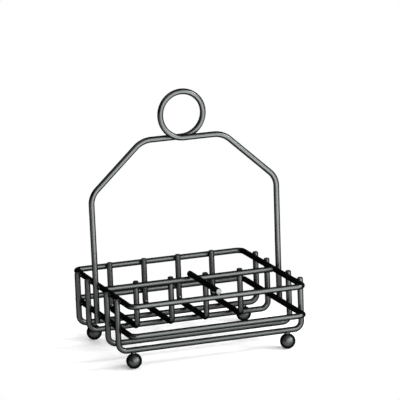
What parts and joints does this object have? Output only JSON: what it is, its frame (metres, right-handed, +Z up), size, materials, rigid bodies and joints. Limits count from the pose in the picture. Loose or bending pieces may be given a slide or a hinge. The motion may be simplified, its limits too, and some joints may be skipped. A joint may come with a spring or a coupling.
{
  "type": "sugar packet holder",
  "caption": "Black welded-wire table caddy with a packet trough at the back, shaker cells in front, a tall looped carry handle and ball feet.",
  "frame": {"origin": "centre of the footprint on the table, level with the bottoms of the ball feet", "axes": "+Z up, +X along the runners to the right, +Y from the shaker cells towards the packet trough at the back"},
  "size_m": [0.1612, 0.1468, 0.2116],
  "materials": {
    "black_coat": "satin powder coat"
  },
  "bodies": {
    "root": {"rim_ring": "black_coat", "lower_ring": "black_coat", "runner_outer_back": "black_coat", "runner_inner_back": "black_coat", "runner_inner_front": "black_coat", "runner_outer_front": "black_coat", "cradle_1": "black_coat", "cradle_2": "black_coat", "cradle_3": "black_coat", "cradle_4": "black_coat", "centre_rail": "black_coat", "divider_bar": "black_coat", "carry_handle": "black_coat", "ball_foot_front_left": "black_coat", "ball_foot_front_right": "black_coat", "ball_foot_back_left": "black_coat", "ball_foot_back_right": "black_coat"}
  },
  "joints": []
}
